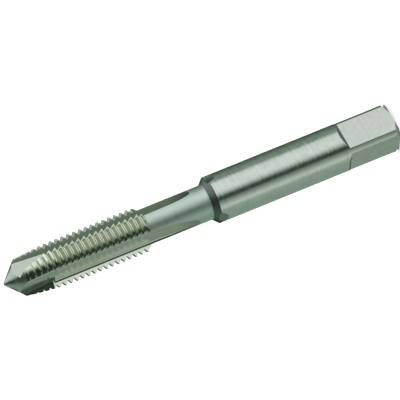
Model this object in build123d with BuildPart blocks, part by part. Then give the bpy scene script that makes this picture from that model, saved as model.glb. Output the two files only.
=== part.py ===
from build123d import *
from math import ceil, cos, radians, sin, sqrt, tan
import os

os.makedirs("parts", exist_ok=True)

# A right-hand machine tap with three straight flutes and a spiral point, ground from one bar.
# It stands along Z on its driving square, whose end face is at z = 0, with the point up.
# The square's flats face +X, +Y, -X and -Y. Sizes are in millimetres, angles in degrees.

# Turned blank
overall_length = 70.2
shank_diameter = 8.0
shank_length = 32.75  # square included
neck_diameter = 6.0
shoulder_angle = 45.0  # to the axis
shoulder_fillet = 0.25
end_chamfer = 0.5
tip_diameter = 0.5  # blunt end of the point
point_angle = 90.0  # included
point_base_diameter = 6.5

# Driving square
square_size = 6.3  # across flats
square_length = 8.85
square_run_out_angle = 45.0  # to the axis

# Thread, 5/16-24 UNF
thread_pitch = 25.4 / 24
thread_diameter = 7.94
thread_angle = 60.0
crest_flat = 0.132
root_flat = 0.14
lead_length = 6.35  # chamfered threads below the point
threaded_length = 21.7  # from the point's base to the last crest
thread_end_angle = 57.0  # run-down from the last crest to the neck, to the axis
groove_start = 0.39  # from the point's base to the first groove, along the first cutting face

# Flutes
flute_count = 3
cutting_face_angle = 8.6  # first cutting face, turned about Z from +X
flute_core_diameter = 4.7
flute_floor_radius = 25.0  # slightly hollow floor
floor_angle = 22.3  # from the cutting face to the floor's deepest line
flute_fillet = 0.62  # between floor and cutting face
flute_length = 26.25  # at full depth, from the tip
flute_run_out_radius = 50.0  # left by the grinding wheel

# Spiral point: a gash that opens each cutting face towards the tip
gash_length = 4.25  # from the point's base to where its corner meets the cutting face
gash_foot_radius = 2.85  # of that meeting point
gash_angle = 13.0  # new cutting face to the axis
gash_fall = 8.0  # floor to the axis, deeper towards the tip
gash_rake = 8.0  # hook of the new cutting face

# Cutters
overcut = 1.0  # how far a cutter runs on into the open
groove_overcut = 0.05  # the same for the thread groove, where its neighbours are close
groove_gap = 8.0  # angle between a flute's deepest line and the end of a groove cut

shank_radius = shank_diameter / 2
neck_radius = neck_diameter / 2
tip_radius = tip_diameter / 2
thread_radius = thread_diameter / 2
point_base_radius = point_base_diameter / 2
open_radius = max(shank_radius, thread_radius) + overcut

point_base_z = overall_length - (point_base_radius - tip_radius) / tan(radians(point_angle / 2))
lead_end_z = point_base_z - lead_length
thread_end_z = point_base_z - threaded_length
neck_end_z = thread_end_z - (thread_radius - neck_radius) / tan(radians(thread_end_angle))
shoulder_z = shank_length + (shank_radius - neck_radius) / tan(radians(shoulder_angle))


# Flute cutter. The cutting face that it leaves lies in the XZ plane and looks along +Y.
# A section with a straight face and a hollow floor is carried down the flute, then outwards
# round the rim of the grinding wheel.
face_x = cos(radians(floor_angle))
face_y = -sin(radians(floor_angle))
floor_direction = (face_x, -face_y, 0)
floor_centre = flute_core_diameter / 2 + flute_floor_radius
face_foot = floor_centre * face_x - sqrt(flute_floor_radius**2 - (floor_centre * face_y) ** 2)
floor_edge = floor_centre - sqrt(flute_floor_radius**2 - open_radius**2)
flute_top = overall_length + overcut
wheel_lift = 40.0  # arc of the rim, enough to leave the shank

with BuildPart() as flute_cutter:
    with BuildLine(Plane(origin=(0, 0, 0), x_dir=floor_direction, z_dir=(-face_y, -face_x, 0))) as wheel_path:
        full_depth = Line((0, flute_top), (0, overall_length - flute_length))
        JernArc(full_depth @ 1, full_depth % 1, flute_run_out_radius, wheel_lift)
    with BuildSketch(Plane(origin=(0, 0, flute_top), x_dir=floor_direction, z_dir=(0, 0, 1))):
        with BuildLine():
            face = Line(
                (2 * open_radius * face_x, 2 * open_radius * face_y),
                (face_foot * face_x, face_foot * face_y),
            )
            floor = RadiusArc(face @ 1, (floor_edge, open_radius), flute_floor_radius)
            Polyline(floor @ 1, (2 * open_radius * face_x, open_radius), face @ 0)
        make_face()
        fillet(vertices().sort_by(Axis.X)[0], flute_fillet)
    sweep(path=wheel_path.line)

# Gash cutter, placed as the flute cutter. One edge of the prism is the gash's corner.
gash_corner = Plane(
    origin=(gash_foot_radius, 0, point_base_z - gash_length),
    x_dir=(cos(radians(gash_rake)), sin(radians(gash_rake)), 0),
    z_dir=(-tan(radians(gash_fall)), -tan(radians(gash_angle)), 1),
)
with BuildPart() as gash_cutter:
    with BuildSketch(gash_corner.offset(-overcut)):
        Rectangle(open_radius, 2 * open_radius, align=(Align.MIN, Align.MIN))
    extrude(amount=(gash_length + point_base_radius + 3 * overcut) / cos(radians(gash_angle)))

# Thread groove cutter, placed as the flute cutter: the turn of the helix that crosses one land,
# with both ends in the open flutes.
groove_flank = tan(radians(thread_angle / 2))
thread_depth = (thread_pitch - crest_flat - root_flat) / (2 * groove_flank)
root_radius = thread_radius - thread_depth
groove_height = thread_depth + groove_overcut
groove_mouth = root_flat + 2 * groove_height * groove_flank
groove_sweep = 360 / flute_count - 2 * groove_gap
groove_angle = floor_angle + groove_gap - 360 / flute_count  # its lower end, from the cutting face

with BuildPart() as groove_cutter:
    with BuildLine() as groove_path:
        helix = Helix(thread_pitch, thread_pitch * groove_sweep / 360, root_radius)
    with BuildSketch(Plane(origin=helix @ 0, x_dir=(1, 0, 0), z_dir=helix % 0)):
        with BuildLine():
            Polyline(
                (0, -root_flat / 2),
                (groove_height, -groove_mouth / 2),
                (groove_height, groove_mouth / 2),
                (0, root_flat / 2),
                close=True,
            )
        make_face()
    sweep(path=groove_path.line, is_frenet=True)

# Cutter for one face of the driving square and its run-out
flat_x = square_size / 2
square_run_out = (open_radius - flat_x) / tan(radians(square_run_out_angle))
with BuildPart() as flat_cutter:
    with BuildSketch(Plane.XZ):
        with BuildLine():
            Polyline(
                (flat_x, -overcut),
                (flat_x, square_length),
                (open_radius, square_length + square_run_out),
                (open_radius, -overcut),
                close=True,
            )
        make_face()
    extrude(amount=open_radius, both=True)

with BuildPart() as thread_tap:
    with BuildSketch(Plane.XZ):
        with BuildLine():
            Polyline(
                (0, 0),
                (shank_radius - end_chamfer, 0),
                (shank_radius, end_chamfer),
                (shank_radius, shank_length),
                (neck_radius, shoulder_z),
                (neck_radius, neck_end_z),
                (thread_radius, thread_end_z),
                (thread_radius, lead_end_z),
                (point_base_radius, point_base_z),
                (tip_radius, overall_length),
                (0, overall_length),
                close=True,
            )
        make_face()
        fillet(vertices().sort_by_distance((neck_radius, shoulder_z))[0], shoulder_fillet)
    revolve(axis=Axis.Z)

    with PolarLocations(0, flute_count, start_angle=cutting_face_angle):
        add(flute_cutter.part, mode=Mode.SUBTRACT)
        add(gash_cutter.part, mode=Mode.SUBTRACT)

    # The grooves step from land to land down one right-hand helix.
    groove_turn = 360 / flute_count
    groove_step = thread_pitch / flute_count
    groove_count = ceil((point_base_z - groove_start - neck_end_z) / groove_step) + 1
    first_groove_z = point_base_z - groove_start + thread_pitch * groove_angle / 360
    groove_places = [
        Location(
            (0, 0, first_groove_z - groove_step * step),
            (0, 0, cutting_face_angle + groove_angle - groove_turn * step),
        )
        for step in range(groove_count)
    ]
    with Locations(groove_places):
        add(groove_cutter.part, mode=Mode.SUBTRACT)

    with PolarLocations(0, 4):
        add(flat_cutter.part, mode=Mode.SUBTRACT)

thread_tap.part.label = "thread_tap"
export_step(thread_tap.part, "parts/thread_tap.step")
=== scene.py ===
import math
import bpy
import numpy as np
from mathutils import Matrix, Vector


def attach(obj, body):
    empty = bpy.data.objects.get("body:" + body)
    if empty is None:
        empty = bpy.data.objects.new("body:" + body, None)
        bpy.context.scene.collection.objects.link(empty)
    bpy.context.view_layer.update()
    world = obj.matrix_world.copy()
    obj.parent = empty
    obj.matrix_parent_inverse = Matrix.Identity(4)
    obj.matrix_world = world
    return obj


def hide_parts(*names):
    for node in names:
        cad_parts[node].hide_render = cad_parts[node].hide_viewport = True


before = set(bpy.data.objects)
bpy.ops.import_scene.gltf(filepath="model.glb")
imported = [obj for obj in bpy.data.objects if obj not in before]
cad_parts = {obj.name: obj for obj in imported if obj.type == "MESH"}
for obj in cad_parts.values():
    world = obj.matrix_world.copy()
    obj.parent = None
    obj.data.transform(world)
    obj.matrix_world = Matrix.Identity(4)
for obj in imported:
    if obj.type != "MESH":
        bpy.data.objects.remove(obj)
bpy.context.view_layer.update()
print("frame loaded", sorted(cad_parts))

# The tap stands on its square end. Lengths are in millimetres until a mesh is made, angles in degrees.
blank = {
    "length": 70.2, "endRadius": 3.2, "endChamfer": 0.6, "shankRadius": 4.0, "shankTop": 32.75,
    "shoulderZ": 33.75, "shoulderFillet": 0.25, "neckRadius": 3.0,
    "pointBaseRadius": 3.25, "pointBaseZ": 67.2, "tipRadius": 0.25,
}
square = {"flatDistance": 3.15, "length": 8.85, "runOut": 0.85}
thread = {
    "pitch": 25.4 / 24, "radius": 3.97, "flankAngle": 30.0, "crestFlat": 0.132, "rootFlat": 0.14,
    "firstRootZ": 66.81, "leadEndZ": 60.85, "endZ": 45.5, "endAngle": 57.0, "turns": 22,
}
flute = {
    "count": 3, "faceAngle": 8.6, "coreRadius": 2.35, "fillet": 0.62,
    "floorRadius": 25.0, "floorAngle": 22.3, "floorReach": 5.0,
    "fullDepthZ": 43.95, "wheelRadius": 50.0, "reach": 10.0, "heelGuess": 98.0,
}
gash = {"footZ": 62.3, "footRadius": 2.13, "angle": 15.0, "fall": 1.3, "rake": 4.0}

# Columns of the mesh, from a land's heel to its cutting edge, then down the face and across the flute.
# Below plainTop they leave the flutes' places and gather round the square. Faces that lie deeper than the
# blank by cutMargin are the square's below squareTop and a flute's above fluteFoot.
tap = {
    "landColumns": 24, "fluteColumns": (3, 3, 4, 8, 14), "paintedShadeCornerColumns": 3, "highlightHeelColumns": 3,
    "halfFlatColumns": 11, "sharpAngle": 11.0,
    "plainTop": 31.2, "cutMargin": 0.01, "squareTop": 10.0, "fluteFoot": 30.0, "neckFoot": 33.7,
}


def slope(degrees):
    return math.tan(math.radians(degrees))


flankSlope = slope(thread["flankAngle"])
threadDepth = (thread["pitch"] - thread["crestFlat"] - thread["rootFlat"]) / (2 * flankSlope)
rootRadius = thread["radius"] - threadDepth
neckTop = thread["endZ"] - (thread["radius"] - blank["neckRadius"]) / slope(thread["endAngle"])
runOutTop = square["length"] + square["runOut"]
sector = 360 // flute["count"]


def blankRadius(z):
    # Straight lines between the turned corners, and a small arc at the foot of the shoulder.
    lean = np.radians(np.linspace(45, 0, 6))
    filletZ = blank["shoulderZ"] + blank["shoulderFillet"] * (slope(22.5) - np.sin(lean))
    filletR = blank["neckRadius"] + blank["shoulderFillet"] * (1 - np.cos(lean))
    zs = [0, blank["endChamfer"], blank["shankTop"], *filletZ, neckTop,
          thread["endZ"], thread["leadEndZ"], blank["pointBaseZ"], blank["length"]]
    rs = [blank["endRadius"], blank["shankRadius"], blank["shankRadius"], *filletR, blank["neckRadius"],
          thread["radius"], thread["radius"], blank["pointBaseRadius"], blank["tipRadius"]]
    return np.interp(z, zs, rs)


def landRadius(z, turn):
    # The thread is a 60 degree groove whose distance from a root's middle repeats with the pitch
    # along the helix; the blank cuts off whatever stands above it.
    pitch = thread["pitch"]
    along = np.mod(z - pitch * turn / 360 - thread["firstRootZ"] + pitch / 2, pitch) - pitch / 2
    groove = rootRadius + np.maximum(np.abs(along) - thread["rootFlat"] / 2, 0) / flankSlope
    return np.where(z > neckTop, np.minimum(groove, blankRadius(z)), blankRadius(z))


# One flute in its own frame: the cutting face lies along +x and the open flute is on the +y side.
# The fillet touches the face and the hollow floor, whose middle is the core's radius from the axis.
leanCos, leanSin = math.cos(math.radians(flute["floorAngle"])), math.sin(math.radians(flute["floorAngle"]))
floorCentre = (flute["coreRadius"] + flute["floorRadius"]) * np.array([leanCos, leanSin])
filletToFloor = flute["floorRadius"] - flute["fillet"]
filletAside = math.sqrt(filletToFloor ** 2 - (floorCentre[1] - flute["fillet"]) ** 2)
filletCentre = np.array([floorCentre[0] - filletAside, flute["fillet"]])
filletStart = np.array([filletCentre[0], 0.0])
filletEndAngle = math.atan2(*(filletCentre - floorCentre)[::-1])
floorEndAngle = math.atan2(-leanSin, -leanCos) - math.asin(flute["floorReach"] / flute["floorRadius"])


def arc(centre, radius, angle):
    # Points on a circle, a row of x over a row of y.
    return centre[:, None] + radius * np.array([np.cos(angle), np.sin(angle)]).reshape(2, -1)


def floorProfile(place):
    # From 0 to 1 round the fillet, from 1 to 2 along the hollow floor.
    place = np.asarray(place, float)
    filletTurn = -math.pi / 2 + np.clip(place, 0, 1) * (filletEndAngle + math.pi / 2)
    floorTurn = filletEndAngle + np.clip(place - 1, 0, 1) * (floorEndAngle - filletEndAngle)
    onFillet = arc(filletCentre, flute["fillet"], filletTurn)
    onFloor = arc(floorCentre, flute["floorRadius"], floorTurn)
    return np.where(place.reshape(1, -1) < 1, onFillet, onFloor)


# The gash's edge falls and drifts as it rises, so its floor crosses a level section a little off square.
gashFall, gashDrift = slope(gash["fall"]), slope(gash["angle"])
gashOut = np.array([math.cos(math.radians(gash["rake"])), math.sin(math.radians(gash["rake"]))])
gashEdge = np.array([-gashFall, -gashDrift, 1])
gashSide = np.cross(gashEdge, [*gashOut, 0])
gashSide -= gashEdge * gashSide[2]
gashAhead = np.array([gashSide[1], -gashSide[0]]) / math.hypot(gashSide[0], gashSide[1])


def gashCorner(z):
    # Where the gash's face meets its floor; below the gash it is the start of the fillet.
    rise = np.maximum(z - gash["footZ"], 0)
    corner = np.array([gash["footRadius"] - gashFall * rise, -gashDrift * rise])
    return np.where(z > gash["footZ"], corner, filletStart[:, None])


def gashJunctionTable():
    # Where the gash's floor meets the fillet or the flute's floor, for each height.
    heights = np.linspace(gash["footZ"], blank["length"], 400)
    samples = np.linspace(0, 2, 1200)
    points = floorProfile(samples)
    corners = gashCorner(heights + 1e-9)  # just above the foot, where the gash has begun
    ahead = np.einsum("ijk,i->jk", points[:, None, :] - corners[:, :, None], gashAhead)
    return heights, samples[np.argmax(ahead < 0, axis=1)]


junctionHeights, junctionPlaces = gashJunctionTable()


def flutePoint(place, z):
    # Walks the flute's section at height z: the cutting face to 1, the gash's face to 2, its floor to 3,
    # the fillet to 4 and the flute's floor to 5.
    shape = np.shape(place)
    place, z = np.ravel(place), np.ravel(z)
    inGash = z > gash["footZ"]
    corner = gashCorner(z)
    outward = np.minimum(gashDrift * np.maximum(z - gash["footZ"], 0) / gashOut[1], flute["reach"])
    meet = corner + gashOut[:, None] * outward
    meet = np.where(inGash & (meet[0] > filletStart[0]), meet, filletStart[:, None])
    foot = np.where(inGash, np.interp(z, junctionHeights, junctionPlaces), 0)
    junction = floorProfile(foot)
    start = np.array([flute["reach"], 0.0])[:, None]
    floorStart = np.maximum(foot, 1)
    pieces = [
        start + (meet - start) * np.clip(place, 0, 1),
        meet + (corner - meet) * np.clip(place - 1, 0, 1),
        corner + (junction - corner) * np.clip(place - 2, 0, 1),
        floorProfile(np.minimum(foot + np.maximum(1 - foot, 0) * np.clip(place - 3, 0, 1), 2)),
        floorProfile(floorStart + (2 - floorStart) * np.clip(place - 4, 0, 1)),
    ]
    point = np.select([place < 1, place < 2, place < 3, place < 4], pieces[:4], pieces[4])
    # Below full depth the wheel's rim lifts the section out along the floor's direction.
    drop = np.maximum(flute["fullDepthZ"] - z, 0)
    out = point[0] * leanCos + point[1] * leanSin
    aside = -point[0] * leanSin + point[1] * leanCos
    rim = flute["wheelRadius"] - out
    out = flute["wheelRadius"] - np.sqrt(np.maximum(rim**2 - drop**2, 0))
    return np.array([out * leanCos - aside * leanSin, out * leanSin + aside * leanCos]).reshape(2, *shape)


def rowHeight(row, turn):
    # A plain row is level. A thread row follows the helix, on a root edge, a flank or a crest.
    pitch, half = thread["pitch"], thread["rootFlat"] / 2
    base = thread["firstRootZ"] - row["turnDown"] * pitch + pitch * turn / 360
    low, high = half + threadDepth * flankSlope, pitch - half - threadDepth * flankSlope
    # On the tapered lead the crest's edges depend on the blank's radius there, so they are found in steps.
    for _ in range(3):
        low = half + np.maximum(blankRadius(base + low) - rootRadius, 0) * flankSlope
        high = pitch - half - np.maximum(blankRadius(base + high) - rootRadius, 0) * flankSlope
    weights = row["weights"]
    helical = base + weights[0] * half + weights[1] * low + weights[2] * high + weights[3] * (pitch - half)
    helical = np.clip(helical, thread["endZ"], blank["pointBaseZ"])
    return np.where(row["helical"], helical, row["level"])


def makeRows():
    # Level rows up to the thread and over the point, closest where the shape or the look changes,
    # and between them ten rows for each turn of the thread: root edge, flank, crest, flank, root edge.
    spread = np.linspace
    filletFoot = blank["shoulderZ"] + blank["shoulderFillet"] * (slope(22.5) - math.sin(math.radians(45)))
    filletTop = blank["shoulderZ"] + blank["shoulderFillet"] * slope(22.5)
    below = np.concatenate([
        spread(0, blank["endChamfer"], 7), [2, 4.5, 7],  # drive end and flats
        square["length"] + square["runOut"] * (1 - spread(1, 0, 12) ** 2),  # slopes over the flats
        spread(10.2, 30.6, 22),  # plain shank
        spread(tap["plainTop"], 31.8, 10), spread(31.95, blank["shankTop"], 7),  # the flutes nick its end
        spread(blank["shankTop"], filletFoot, 9)[1:], spread(filletFoot, filletTop, 6)[1:],  # shoulder
        [34.4, 35.1, 35.7], 36.0 + 0.9 * spread(0, 1, 12) ** 1.5,  # neck and the tips of the run-outs
        spread(37.2, flute["fullDepthZ"], 18), [44.3, 44.6],  # run-outs
        spread(neckTop, thread["endZ"], 9)[:-1],  # slope up to the thread
    ])
    above = np.concatenate([
        spread(blank["pointBaseZ"], 68.9, 22)[1:],  # cone, where the gashes leave it
        spread(69.1, blank["length"], 5),  # tip
    ])
    # Each step is a mix of four heights: root edge, the crest's two edges and the next root edge.
    third = 1 / 3
    steps = [
        (1, 0, 0, 0), (2 * third, third, 0, 0), (third, 2 * third, 0, 0),
        (0, 1, 0, 0), (0, 2 * third, third, 0), (0, third, 2 * third, 0),
        (0, 0, 1, 0), (0, 0, 2 * third, third), (0, 0, third, 2 * third), (0, 0, 0, 1),
    ]
    weights = np.tile(np.array(steps).T, thread["turns"])
    down = np.repeat(np.arange(thread["turns"] - 1, -1, -1), len(steps))
    levelBelow, levelAbove = np.zeros(len(below)), np.zeros(len(above))
    rows = {
        "level": np.concatenate([below, np.zeros(len(down)), above]),
        "helical": np.concatenate([levelBelow, np.ones(len(down)), levelAbove]) > 0,
        "turnDown": np.concatenate([levelBelow, down, levelAbove]),
        "weights": np.pad(weights, ((0, 0), (len(below), len(above)))),
    }
    return {key: value[..., None] for key, value in rows.items()}


def crossing(rows, number, heel):
    # The place on the flute's section where it leaves the land, found by halving, for every row.
    # The last flute's heel meets the first land, whose turns are counted from a whole turn further back.
    wrap = 360 if heel and number == flute["count"] - 1 else 0
    angle = np.full(rows["level"].shape, flute["heelGuess"] if heel else 0.0)
    samples = np.linspace(0, 5, 401)[None, :]
    last = samples.shape[1] - 1
    # The land's radius depends on the angle that is found, so the search is repeated.
    for _ in range(4):
        turn = sector * number + angle - wrap
        z = rowHeight(rows, turn)
        radius = landRadius(z, turn)
        walk = np.hypot(*flutePoint(samples + 0 * z, z + 0 * samples))
        inside = walk < radius
        lowest = np.argmin(walk, axis=1)
        if heel:
            keep = last - np.argmax(inside[:, ::-1], axis=1)
            leave = np.minimum(keep + 1, last)
        else:
            keep = np.argmax(inside, axis=1)
            leave = np.maximum(keep - 1, 0)
        some = inside.any(axis=1)
        keep, leave = np.where(some, keep, lowest), np.where(some, leave, lowest)
        place, outer = samples[0, keep][:, None], samples[0, leave][:, None]
        for _ in range(24):
            middle = (place + outer) / 2
            within = np.hypot(*flutePoint(middle, z)) < radius
            place, outer = np.where(within, middle, place), np.where(within, outer, middle)
        point = flutePoint(place, z)
        angle = np.degrees(np.arctan2(point[1], point[0]))
    return place, angle, z


def landColumns(rows, number, heel, edge):
    # The outside of a land, shared out evenly from the heel of the flute behind it to its own cutting edge.
    heelAngle = heel[1] - sector
    share = np.linspace(0, 1, tap["landColumns"] + 1)[None, :-1]
    angle = heelAngle + (edge[1] - heelAngle) * share
    turn = sector * number + angle
    z = rowHeight(rows, turn)
    radius = landRadius(z, turn)
    spun = np.radians(angle) + math.radians(flute["faceAngle"] + sector * number)
    return radius * np.cos(spun), radius * np.sin(spun), z


def fluteColumns(rows, number, edge, heel):
    # The flute's section from its cutting edge to its heel. The faces keep the edge's height and the floor
    # drifts to the heel's, and nothing stands out past the blank.
    places = []
    for part, count in enumerate(tap["fluteColumns"]):
        low, high = np.clip(edge[0], part, part + 1), np.clip(heel[0], part, part + 1)
        places.append(low + (high - low) * np.linspace(0, 1, count, endpoint=False)[None, :])
    place = np.clip(np.concatenate(places, axis=1), edge[0], heel[0])
    still, moving = sum(tap["fluteColumns"][:2]), sum(tap["fluteColumns"][2:])
    drift = np.concatenate([np.zeros(still), np.arange(moving) / moving])[None, :]
    z = edge[2] + (heel[2] - edge[2]) * drift
    point = flutePoint(place, z)
    length, angle = np.hypot(*point), np.arctan2(point[1], point[0])
    wrap = 360 * drift * (number == flute["count"] - 1)
    onLand = landRadius(z, sector * number + np.degrees(angle) - wrap)
    limit = np.where(rows["helical"], blankRadius(z), onLand)
    radius = length * np.minimum(1, limit / length)
    spun = angle + math.radians(flute["faceAngle"] + sector * number)
    return radius * np.cos(spun), radius * np.sin(spun), z


def shankColumns(rows, x, y, z):
    # Below the flutes the columns spread over the round shank and then gather at the square's edges.
    level = rows["level"]
    columnCount = x.shape[1]
    quarter, half = columnCount // 4, tap["halfFlatColumns"]
    corner = quarter - 2 * half
    radius = blankRadius(level)
    distance = square["flatDistance"] + np.maximum(level - square["length"], 0)
    reach = np.degrees(np.arccos(np.minimum(distance / radius, 1)))
    index = np.arange(columnCount) % quarter
    onFlat = reach * (index / half)
    onCorner = reach + (90 - 2 * reach) * (index - half) / corner
    onNextFlat = 90 - reach * (quarter - index) / half
    inQuarter = np.where(index <= half, onFlat, np.where(index <= half + corner, onCorner, onNextFlat))
    angle = 90 * (np.arange(columnCount) // quarter) + inQuarter - 90
    fromNormal = np.abs(np.where(inQuarter > 45, 90 - inQuarter, inQuarter))
    radius = np.minimum(radius, distance / np.cos(np.radians(fromNormal)))
    plain = (level <= tap["plainTop"]) & ~rows["helical"]
    top = np.flatnonzero(plain)[-1]
    above = np.unwrap(np.arctan2(y[top], x[top]))
    # The square looks the same each quarter turn, so its columns start in the quarter that twists them least.
    angle += 90 * round(np.mean(np.degrees(above) - angle) / 90)
    blend = np.clip((level - runOutTop) / (tap["plainTop"] - runOutTop), 0, 1)
    angle = np.radians(angle) * (1 - blend) + above[None, :] * blend
    x = np.where(plain, radius * np.cos(angle), x)
    y = np.where(plain, radius * np.sin(angle), y)
    return x, y, np.where(plain, level, z)


def makeTap():
    # A grid of points: rows up the tap, columns round it, a land and a flute in turn.
    rows = makeRows()
    numbers = range(flute["count"])
    edges = [crossing(rows, number, False) for number in numbers]
    heels = [crossing(rows, number, True) for number in numbers]
    parts = []
    for number in numbers:
        parts.append(landColumns(rows, number, heels[number - 1], edges[number]))
        parts.append(fluteColumns(rows, number, edges[number], heels[number]))
    return shankColumns(rows, *(np.concatenate(axis, axis=1) for axis in zip(*parts)))


def zoneOf(x, y, z):
    # 0 shank, 1 thread, 2 flute floors, 3 cutting faces, 4 square, 5 ends, 6 neck, 7 shoulder, 8 gash floors,
    # 9 heels of the lands; 8 and 9 are brighter steel as painted highlights. The corner beside a cutting face
    # and the slopes over the flats get the shoulder's dark steel as painted shade, and below the thread a
    # flute has no heel.
    face, gashFace, gashFloor, fillet, floor = tap["fluteColumns"]
    corner, heel = tap["paintedShadeCornerColumns"], tap["highlightHeelColumns"]
    counts = (tap["landColumns"], face + gashFace, gashFloor, corner, fillet - corner + floor - heel, heel)
    columns = np.repeat((0, 3, 8, 7, 2, 9), counts)
    height = (z[1:] + z[:-1]) / 2
    radius = np.hypot(x, y)
    nextRadius = np.roll(radius, -1, axis=1)
    meanRadius = (radius[1:] + radius[:-1] + nextRadius[1:] + nextRadius[:-1]) / 4
    cutAway = meanRadius < blankRadius(height) - tap["cutMargin"]
    zone = np.where(cutAway & (height > tap["fluteFoot"]), np.tile(columns, flute["count"])[None, :], 0)
    zone = np.where((zone == 9) & (height < thread["endZ"]), 2, zone)
    zone = np.where((zone == 0) & (height > neckTop) & (height < blank["pointBaseZ"]), 1, zone)
    # The slopes over the flats take the shoulder's dark steel as painted shade.
    squareOrPaintedShade = np.where(height > square["length"], 7, 4)
    zone = np.where((height < tap["squareTop"]) & cutAway, squareOrPaintedShade, zone)
    onEnds = (height < blank["endChamfer"]) | (height > blank["pointBaseZ"])
    onNeck, onShoulder = height > tap["neckFoot"], height > blank["shankTop"]
    return np.select([zone != 0, onEnds, onNeck, onShoulder], [zone, 5, 6, 7], 0)


def gridMesh(name, x, y, z, zones):
    # Millimetres become metres. Each face joins two neighbouring columns of two rows, and a face closes
    # the first and the last row.
    rowCount, columnCount = x.shape
    points = np.stack([x, y, z], axis=-1).reshape(-1, 3) * 0.001
    column = np.arange(columnCount)
    low = np.arange(rowCount - 1)[:, None] * columnCount + column[None, :]
    step = (np.roll(column, -1) - column)[None, :]
    quads = np.stack([low, low + step, low + step + columnCount, low + columnCount], axis=-1).reshape(-1, 4)
    # Points that fell together, to 50 nanometres, become one, and a face keeps only its different corners.
    keys = np.round(points * 2e7).astype(np.int64)
    first, same = np.unique(keys, axis=0, return_index=True, return_inverse=True)[1:]
    same = same.ravel()
    quads = same[quads]
    different = quads != np.roll(quads, -1, axis=1)
    kept = different.sum(axis=1) > 2
    faces = [quad[corners] for quad, corners in zip(quads[kept], different[kept])]
    for ring in (same[column][::-1], same[column + (rowCount - 1) * columnCount]):
        faces.append(ring[ring != np.roll(ring, -1)])
    mesh = bpy.data.meshes.new(name)
    mesh.from_pydata(points[first], [], [face.tolist() for face in faces])
    faceZones = np.array([*zones.ravel()[kept], 5, 5], dtype=np.int32)
    mesh.polygons.foreach_set("material_index", faceZones)
    mesh.validate()
    mesh.shade_smooth()
    mesh.set_sharp_from_angle(angle=math.radians(tap["sharpAngle"]))
    return mesh


tapGrid = makeTap()
tapMesh = gridMesh("tap_ground", *tapGrid, zoneOf(*tapGrid))
tapObject = bpy.data.objects.new("tap_ground", tapMesh)
bpy.context.scene.collection.objects.link(tapObject)
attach(tapObject, "root")
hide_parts("thread_tap")
triangles = sum(len(face.vertices) - 2 for face in tapMesh.polygons)
print("tap mesh", len(tapMesh.vertices), "points", triangles, "triangles")

# Ground steel. Each noise has a scale and a detail, and the grain squeezes the fine and the coarse one.
steel = {
    "fine": (1.0, 3.0), "coarse": (0.13, 2.0), "cloud": (900.0, 3.0),
    "coarseHeight": 6.0, "coarseTone": 0.6, "maskFrom": 0.5, "maskTo": 1.1, "bumpDistance": 0.00002,
    "darkest": 0.88, "lightest": 1.06, "glossiest": 0.8, "dullest": 1.2,
}

# Looks in the order of the zones. Grain is how fine the scratches are along each axis, in marks per metre.
roundShank, alongFlute = (40, 40, 16000), (9000, 9000, 60)
looks = {
    "steel_shank": {"grain": roundShank, "depth": 0.2, "roughness": 0.2, "color": (0.60, 0.67, 0.61)},
    "steel_thread": {"grain": (40, 40, 20000), "depth": 0.15, "roughness": 0.14, "color": (0.62, 0.66, 0.55)},
    "steel_flute": {"grain": alongFlute, "depth": 0.12, "roughness": 0.1, "color": (0.50, 0.55, 0.45)},
    "steel_cutting_face": {"grain": alongFlute, "depth": 0.1, "roughness": 0.15, "color": (0.84, 0.88, 0.80)},
    "steel_square": {"grain": (60, 60, 14000), "depth": 0.2, "roughness": 0.22, "color": (0.60, 0.65, 0.59)},
    "steel_end": {"grain": (300, 300, 14000), "depth": 0.3, "roughness": 0.22, "color": (0.56, 0.63, 0.58)},
    "steel_neck": {"grain": roundShank, "depth": 0.2, "roughness": 0.44, "color": (0.68, 0.80, 0.73)},
    # The shoulder's dark steel is also painted shade on the corner beside each cutting face and on the slopes
    # over the flats.
    "steel_shoulder_and_painted_shade": {"grain": roundShank, "depth": 0.3, "roughness": 0.36, "color": (0.21, 0.23, 0.22)},
    # The gash floors' steel is much brighter than the rest, a painted highlight.
    "steel_gash_painted_highlight": {"grain": alongFlute, "depth": 0.1, "roughness": 0.55, "color": (0.90, 0.94, 0.88)},
    # The heels of the lands are the brightest steel, a painted highlight.
    "steel_heel_painted_highlight": {"grain": alongFlute, "depth": 0.1, "roughness": 0.5, "color": (0.95, 0.98, 0.92)},
}


def linkNodes(tree, pairs):
    for output, socket in pairs:
        tree.links.new(output, socket)


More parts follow.
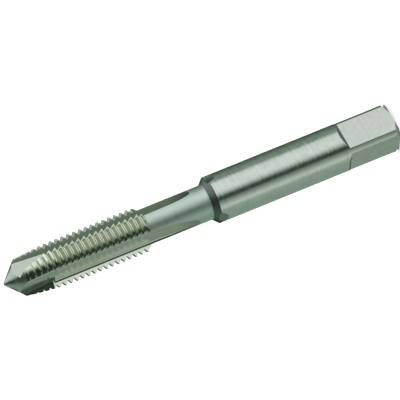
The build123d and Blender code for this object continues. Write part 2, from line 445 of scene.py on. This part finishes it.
def grainGroup():
    # Scratches in one direction: a fine and a coarse noise squeezed along "Grain", added to a height.
    # The coarse noise and a cloudy one make the mask that changes tone and gloss.
    tree = bpy.data.node_groups.new("ground_grain", "ShaderNodeTree")
    tree.interface.new_socket("Grain", in_out="INPUT", socket_type="NodeSocketVector")
    tree.interface.new_socket("Depth", in_out="INPUT", socket_type="NodeSocketFloat")
    tree.interface.new_socket("Normal", in_out="OUTPUT", socket_type="NodeSocketVector")
    tree.interface.new_socket("Mask", in_out="OUTPUT", socket_type="NodeSocketFloat")
    add = tree.nodes.new
    given, out, place = add("NodeGroupInput"), add("NodeGroupOutput"), add("ShaderNodeTexCoord")
    squeeze, height, tone = add("ShaderNodeVectorMath"), add("ShaderNodeMath"), add("ShaderNodeMath")
    fine, coarse, cloud = add("ShaderNodeTexNoise"), add("ShaderNodeTexNoise"), add("ShaderNodeTexNoise")
    bump, spread = add("ShaderNodeBump"), add("ShaderNodeMapRange")
    for noise, kind in ((fine, "fine"), (coarse, "coarse"), (cloud, "cloud")):
        noise.inputs["Scale"].default_value, noise.inputs["Detail"].default_value = steel[kind]
    squeeze.operation = "MULTIPLY"
    height.operation = "MULTIPLY_ADD"
    height.inputs[1].default_value = steel["coarseHeight"]
    tone.operation = "MULTIPLY_ADD"
    tone.inputs[1].default_value = steel["coarseTone"]
    spread.inputs["From Min"].default_value = steel["maskFrom"]
    spread.inputs["From Max"].default_value = steel["maskTo"]
    bump.inputs["Distance"].default_value = steel["bumpDistance"]
    linkNodes(tree, [
        (place.outputs["Object"], squeeze.inputs[0]),
        (given.outputs["Grain"], squeeze.inputs[1]),
        (squeeze.outputs[0], fine.inputs["Vector"]),
        (squeeze.outputs[0], coarse.inputs["Vector"]),
        (coarse.outputs["Fac"], height.inputs[0]),
        (fine.outputs["Fac"], height.inputs[2]),
        (height.outputs[0], bump.inputs["Height"]),
        (given.outputs["Depth"], bump.inputs["Strength"]),
        (bump.outputs[0], out.inputs["Normal"]),
        (place.outputs["Object"], cloud.inputs["Vector"]),
        (coarse.outputs["Fac"], tone.inputs[0]),
        (cloud.outputs["Fac"], tone.inputs[2]),
        (tone.outputs[0], spread.inputs["Value"]),
        (spread.outputs[0], out.inputs["Mask"]),
    ])
    return tree


grain = grainGroup()


def groundSteel(name, look):
    # Ground tool steel: scratches along the grinding, cloudy changes of tone and gloss.
    material = bpy.data.materials.new(name)
    material.use_nodes = True
    tree = material.node_tree
    tree.nodes.clear()
    add = tree.nodes.new
    output, shader = add("ShaderNodeOutputMaterial"), add("ShaderNodeBsdfPrincipled")
    marks, tone, gloss = add("ShaderNodeGroup"), add("ShaderNodeMix"), add("ShaderNodeMapRange")
    marks.node_tree = grain
    marks.inputs["Grain"].default_value = look["grain"]
    marks.inputs["Depth"].default_value = look["depth"]
    tone.data_type = "RGBA"
    tone.inputs["A"].default_value = (*[value * steel["darkest"] for value in look["color"]], 1)
    tone.inputs["B"].default_value = (*[min(value * steel["lightest"], 1) for value in look["color"]], 1)
    gloss.inputs["To Min"].default_value = look["roughness"] * steel["glossiest"]
    gloss.inputs["To Max"].default_value = look["roughness"] * steel["dullest"]
    shader.inputs["Metallic"].default_value = 1.0
    linkNodes(tree, [
        (marks.outputs["Mask"], tone.inputs["Factor"]),
        (tone.outputs["Result"], shader.inputs["Base Color"]),
        (marks.outputs["Mask"], gloss.inputs["Value"]),
        (gloss.outputs[0], shader.inputs["Roughness"]),
        (marks.outputs["Normal"], shader.inputs["Normal"]),
        (shader.outputs[0], output.inputs["Surface"]),
    ])
    return material


for name, look in looks.items():
    tapMesh.materials.append(groundSteel(name, look))
print("materials made")

# The tap is seen from tilt degrees above level and leans by lean degrees across the frame, point down to
# the left. Its cone's apex, a little above the flat tip, falls apexAcross pixels from the left edge and
# apexDown from the top. Lengths are in metres from here on, and the lens and sensor in millimetres.
view = {
    "lens": 1500, "sensor": 36, "clipStart": 0.01, "clipEnd": 20, "tilt": 16.0, "lean": 22.1,
    "frameWidth": 0.064419739, "pixels": 400, "apexAcross": 2.6, "apexDown": 285.3, "apexHeight": 0.07045,
}

# Near is the level direction towards the camera, and side runs down the frame across the tap.
near = Vector((0.8796, -0.4756, 0.0))
side = Vector((-0.4756, -0.8796, 0.0))


def placeCamera():
    # The camera looks along -back; right and up are its own axes, turned about back by the lean.
    tilt, lean = math.radians(view["tilt"]), math.radians(view["lean"])
    back = near * math.cos(tilt) + Vector((0, 0, math.sin(tilt)))
    along = (back * back.z - Vector((0, 0, 1))).normalized()
    right = along * math.cos(lean) + side * math.sin(lean)
    up = along * math.sin(lean) - side * math.cos(lean)
    data = bpy.data.cameras.new("camera")
    data.lens = view["lens"]
    data.sensor_width = view["sensor"]
    data.clip_start = view["clipStart"]
    data.clip_end = view["clipEnd"]
    camera = bpy.data.objects.new("camera", data)
    bpy.context.scene.collection.objects.link(camera)
    bpy.context.scene.camera = camera
    pixel, middle = view["frameWidth"] / view["pixels"], view["pixels"] / 2
    across, down = (middle - view["apexAcross"]) * pixel, (view["apexDown"] - middle) * pixel
    centre = Vector((0, 0, view["apexHeight"])) + right * across + up * down
    distance = view["frameWidth"] * data.lens / data.sensor_width
    camera.matrix_world = Matrix.Translation(centre + back * distance) @ Matrix((
        (right.x, up.x, back.x, 0),
        (right.y, up.y, back.y, 0),
        (right.z, up.z, back.z, 0),
        (0, 0, 0, 1),
    ))


placeCamera()
bpy.context.scene.view_settings.view_transform = "Standard"
print("camera placed")

# Strength of the light round the tap's axis, by degrees from the camera's side, and up and down the sky.
# The bands are softboxes and gaps near the level, raised ones stand above the table's edge, where the front
# reflector ends and leaves a wide dark gap, and overhead ones fill the rest.
studio = {
    "slant": 0.8, "slantTop": 8, "slantMiddle": 16, "lessRed": 0.33, "lessBlue": 0.8,
    "bands": [
        (-180, 0.12), (-140, 0.14), (-116, 0.26), (-100, 0.35), (-86, 0.3), (-72, 0.95),
        (-45, 1.0), (-20, 0.98), (-8, 0.62), (2, 0.06), (14, 0.05), (30, 0.45),
        (53, 0.85), (72, 0.48), (118, 0.42), (150, 0.4), (180, 0.3),
    ],
    "raised": [
        (-180, 0.12), (-140, 0.08), (-112, 0.05), (-100, 0.2), (-88, 0.9), (-70, 1.3), (-20, 1.3),
        (-8, 0.6), (3, 0.03), (50, 0.03), (66, 0.3), (100, 0.3), (150, 0.2), (180, 0.12),
    ],
    "overhead": [
        (-180, 0.4), (-135, 0.75), (-112, 0.9), (-85, 0.9), (-45, 0.75), (-20, 0.5),
        (-4, 0.1), (15, 0.05), (80, 0.07), (108, 0.32), (140, 0.42), (180, 0.4),
    ],
    "level": [(-90, 0), (-38, 0), (-30, 1), (2, 1), (9, 0), (90, 0)],
    "upper": [(-90, 0), (-12, 0), (-5, 1), (90, 1)],
    "ceiling": [(-90, 0.9), (-38, 0.9), (-30, 0.3), (16, 0.3), (28, 0.95), (90, 1)],
}


def studioWorld():
    # Light by direction, with plain white for the camera's own rays.
    world = bpy.data.worlds.new("studio")
    bpy.context.scene.world = world
    world.use_nodes = True
    tree = world.node_tree
    tree.nodes.clear()
    add = tree.nodes.new
    output, choose, ray = add("ShaderNodeOutputWorld"), add("ShaderNodeMixShader"), add("ShaderNodeLightPath")
    light, white, place = add("ShaderNodeBackground"), add("ShaderNodeBackground"), add("ShaderNodeTexCoord")

    def maths(operation, *values):
        # A number sets the socket, and anything else is linked to it.
        node = add("ShaderNodeMath")
        node.operation = operation
        for socket, value in zip(node.inputs, values):
            if isinstance(value, (int, float)):
                socket.default_value = value
            else:
                tree.links.new(value, socket)
        return node.outputs[0]

    def dot(axis):
        node = add("ShaderNodeVectorMath")
        node.operation = "DOT_PRODUCT"
        node.inputs[1].default_value = axis
        tree.links.new(place.outputs["Generated"], node.inputs[0])
        return node.outputs["Value"]

    def ramp(factor, stops):
        # The factor runs from 0 at the first stop to 1 at the last. Dim parts are greener than bright ones.
        node = add("ShaderNodeValToRGB")
        node.color_ramp.interpolation = "EASE"
        elements = node.color_ramp.elements
        while len(elements) < len(stops):
            elements.new(0.5)
        low, high = stops[0][0], stops[-1][0]
        for element, (angle, value) in zip(elements, stops):
            element.position = (angle - low) / (high - low)
            lost = studio["lessRed"] * (1 - min(value, 1))
            element.color = (value * (1 - lost), value, value * (1 - studio["lessBlue"] * lost), 1)
        tree.links.new(factor, node.inputs["Fac"])
        return node.outputs["Color"]

    def blend(factor, low, high):
        node = add("ShaderNodeMix")
        node.data_type = "RGBA"
        linkNodes(tree, [(factor, node.inputs["Factor"]), (low, node.inputs["A"]), (high, node.inputs["B"])])
        return node.outputs["Result"]

    azimuth = maths("MULTIPLY", maths("ARCTAN2", dot(side), dot(near)), 180 / math.pi)
    elevation = maths("MULTIPLY", maths("ARCSINE", dot((0, 0, 1))), 180 / math.pi)
    # The softboxes lean, so a band's azimuth drifts with elevation.
    lifted = maths("ADD", maths("MINIMUM", elevation, studio["slantTop"]), studio["slantMiddle"])
    slanted = maths("ADD", azimuth, maths("MULTIPLY", lifted, studio["slant"]))
    around = maths("DIVIDE", maths("ADD", maths("WRAP", slanted, 180, -180), 180), 360)
    heights = maths("DIVIDE", maths("ADD", elevation, 90), 180)
    bands, raised = ramp(around, studio["bands"]), ramp(around, studio["raised"])
    nearLevel = blend(ramp(heights, studio["upper"]), bands, raised)
    dimmed = add("ShaderNodeVectorMath")
    dimmed.operation = "MULTIPLY"
    tree.links.new(ramp(around, studio["overhead"]), dimmed.inputs[0])
    tree.links.new(ramp(heights, studio["ceiling"]), dimmed.inputs[1])
    white.inputs["Color"].default_value = (1, 1, 1, 1)
    white.inputs["Strength"].default_value = 1.0
    linkNodes(tree, [
        (blend(ramp(heights, studio["level"]), dimmed.outputs[0], nearLevel), light.inputs["Color"]),
        (ray.outputs["Is Camera Ray"], choose.inputs["Fac"]),
        (light.outputs[0], choose.inputs[1]),
        (white.outputs[0], choose.inputs[2]),
        (choose.outputs[0], output.inputs["Surface"]),
    ])


studioWorld()

stage = {"floorSize": 3.0, "floorColor": 0.9, "lampHeight": 1.6, "lampSize": 1.4, "lampPower": 36}


def whiteFloor():
    # The tap's shadow falls on the floor, but its steel reflects only the studio's bands.
    mesh = bpy.data.meshes.new("floor")
    size, color = stage["floorSize"], stage["floorColor"]
    corners = [(-size, -size, 0), (size, -size, 0), (size, size, 0), (-size, size, 0)]
    mesh.from_pydata(corners, [], [(0, 1, 2, 3)])
    floor = bpy.data.objects.new("floor", mesh)
    bpy.context.scene.collection.objects.link(floor)
    material = bpy.data.materials.new("floor_white")
    material.use_nodes = True
    shader = material.node_tree.nodes["Principled BSDF"]
    shader.inputs["Base Color"].default_value = (color, color, color, 1)
    shader.inputs["Roughness"].default_value = 1.0
    shader.inputs["Specular IOR Level"].default_value = 0.0
    mesh.materials.append(material)
    floor.visible_glossy = False


def overheadLamp():
    # An area lamp shines down its own -Z, so it hangs over the tap unturned.
    data = bpy.data.lights.new("overhead", "AREA")
    data.shape = "DISK"
    data.size = stage["lampSize"]
    data.energy = stage["lampPower"]
    lamp = bpy.data.objects.new("overhead", data)
    lamp.location = (0, 0, stage["lampHeight"])
    lamp.visible_glossy = False
    bpy.context.scene.collection.objects.link(lamp)


whiteFloor()
overheadLamp()
print("stage made")
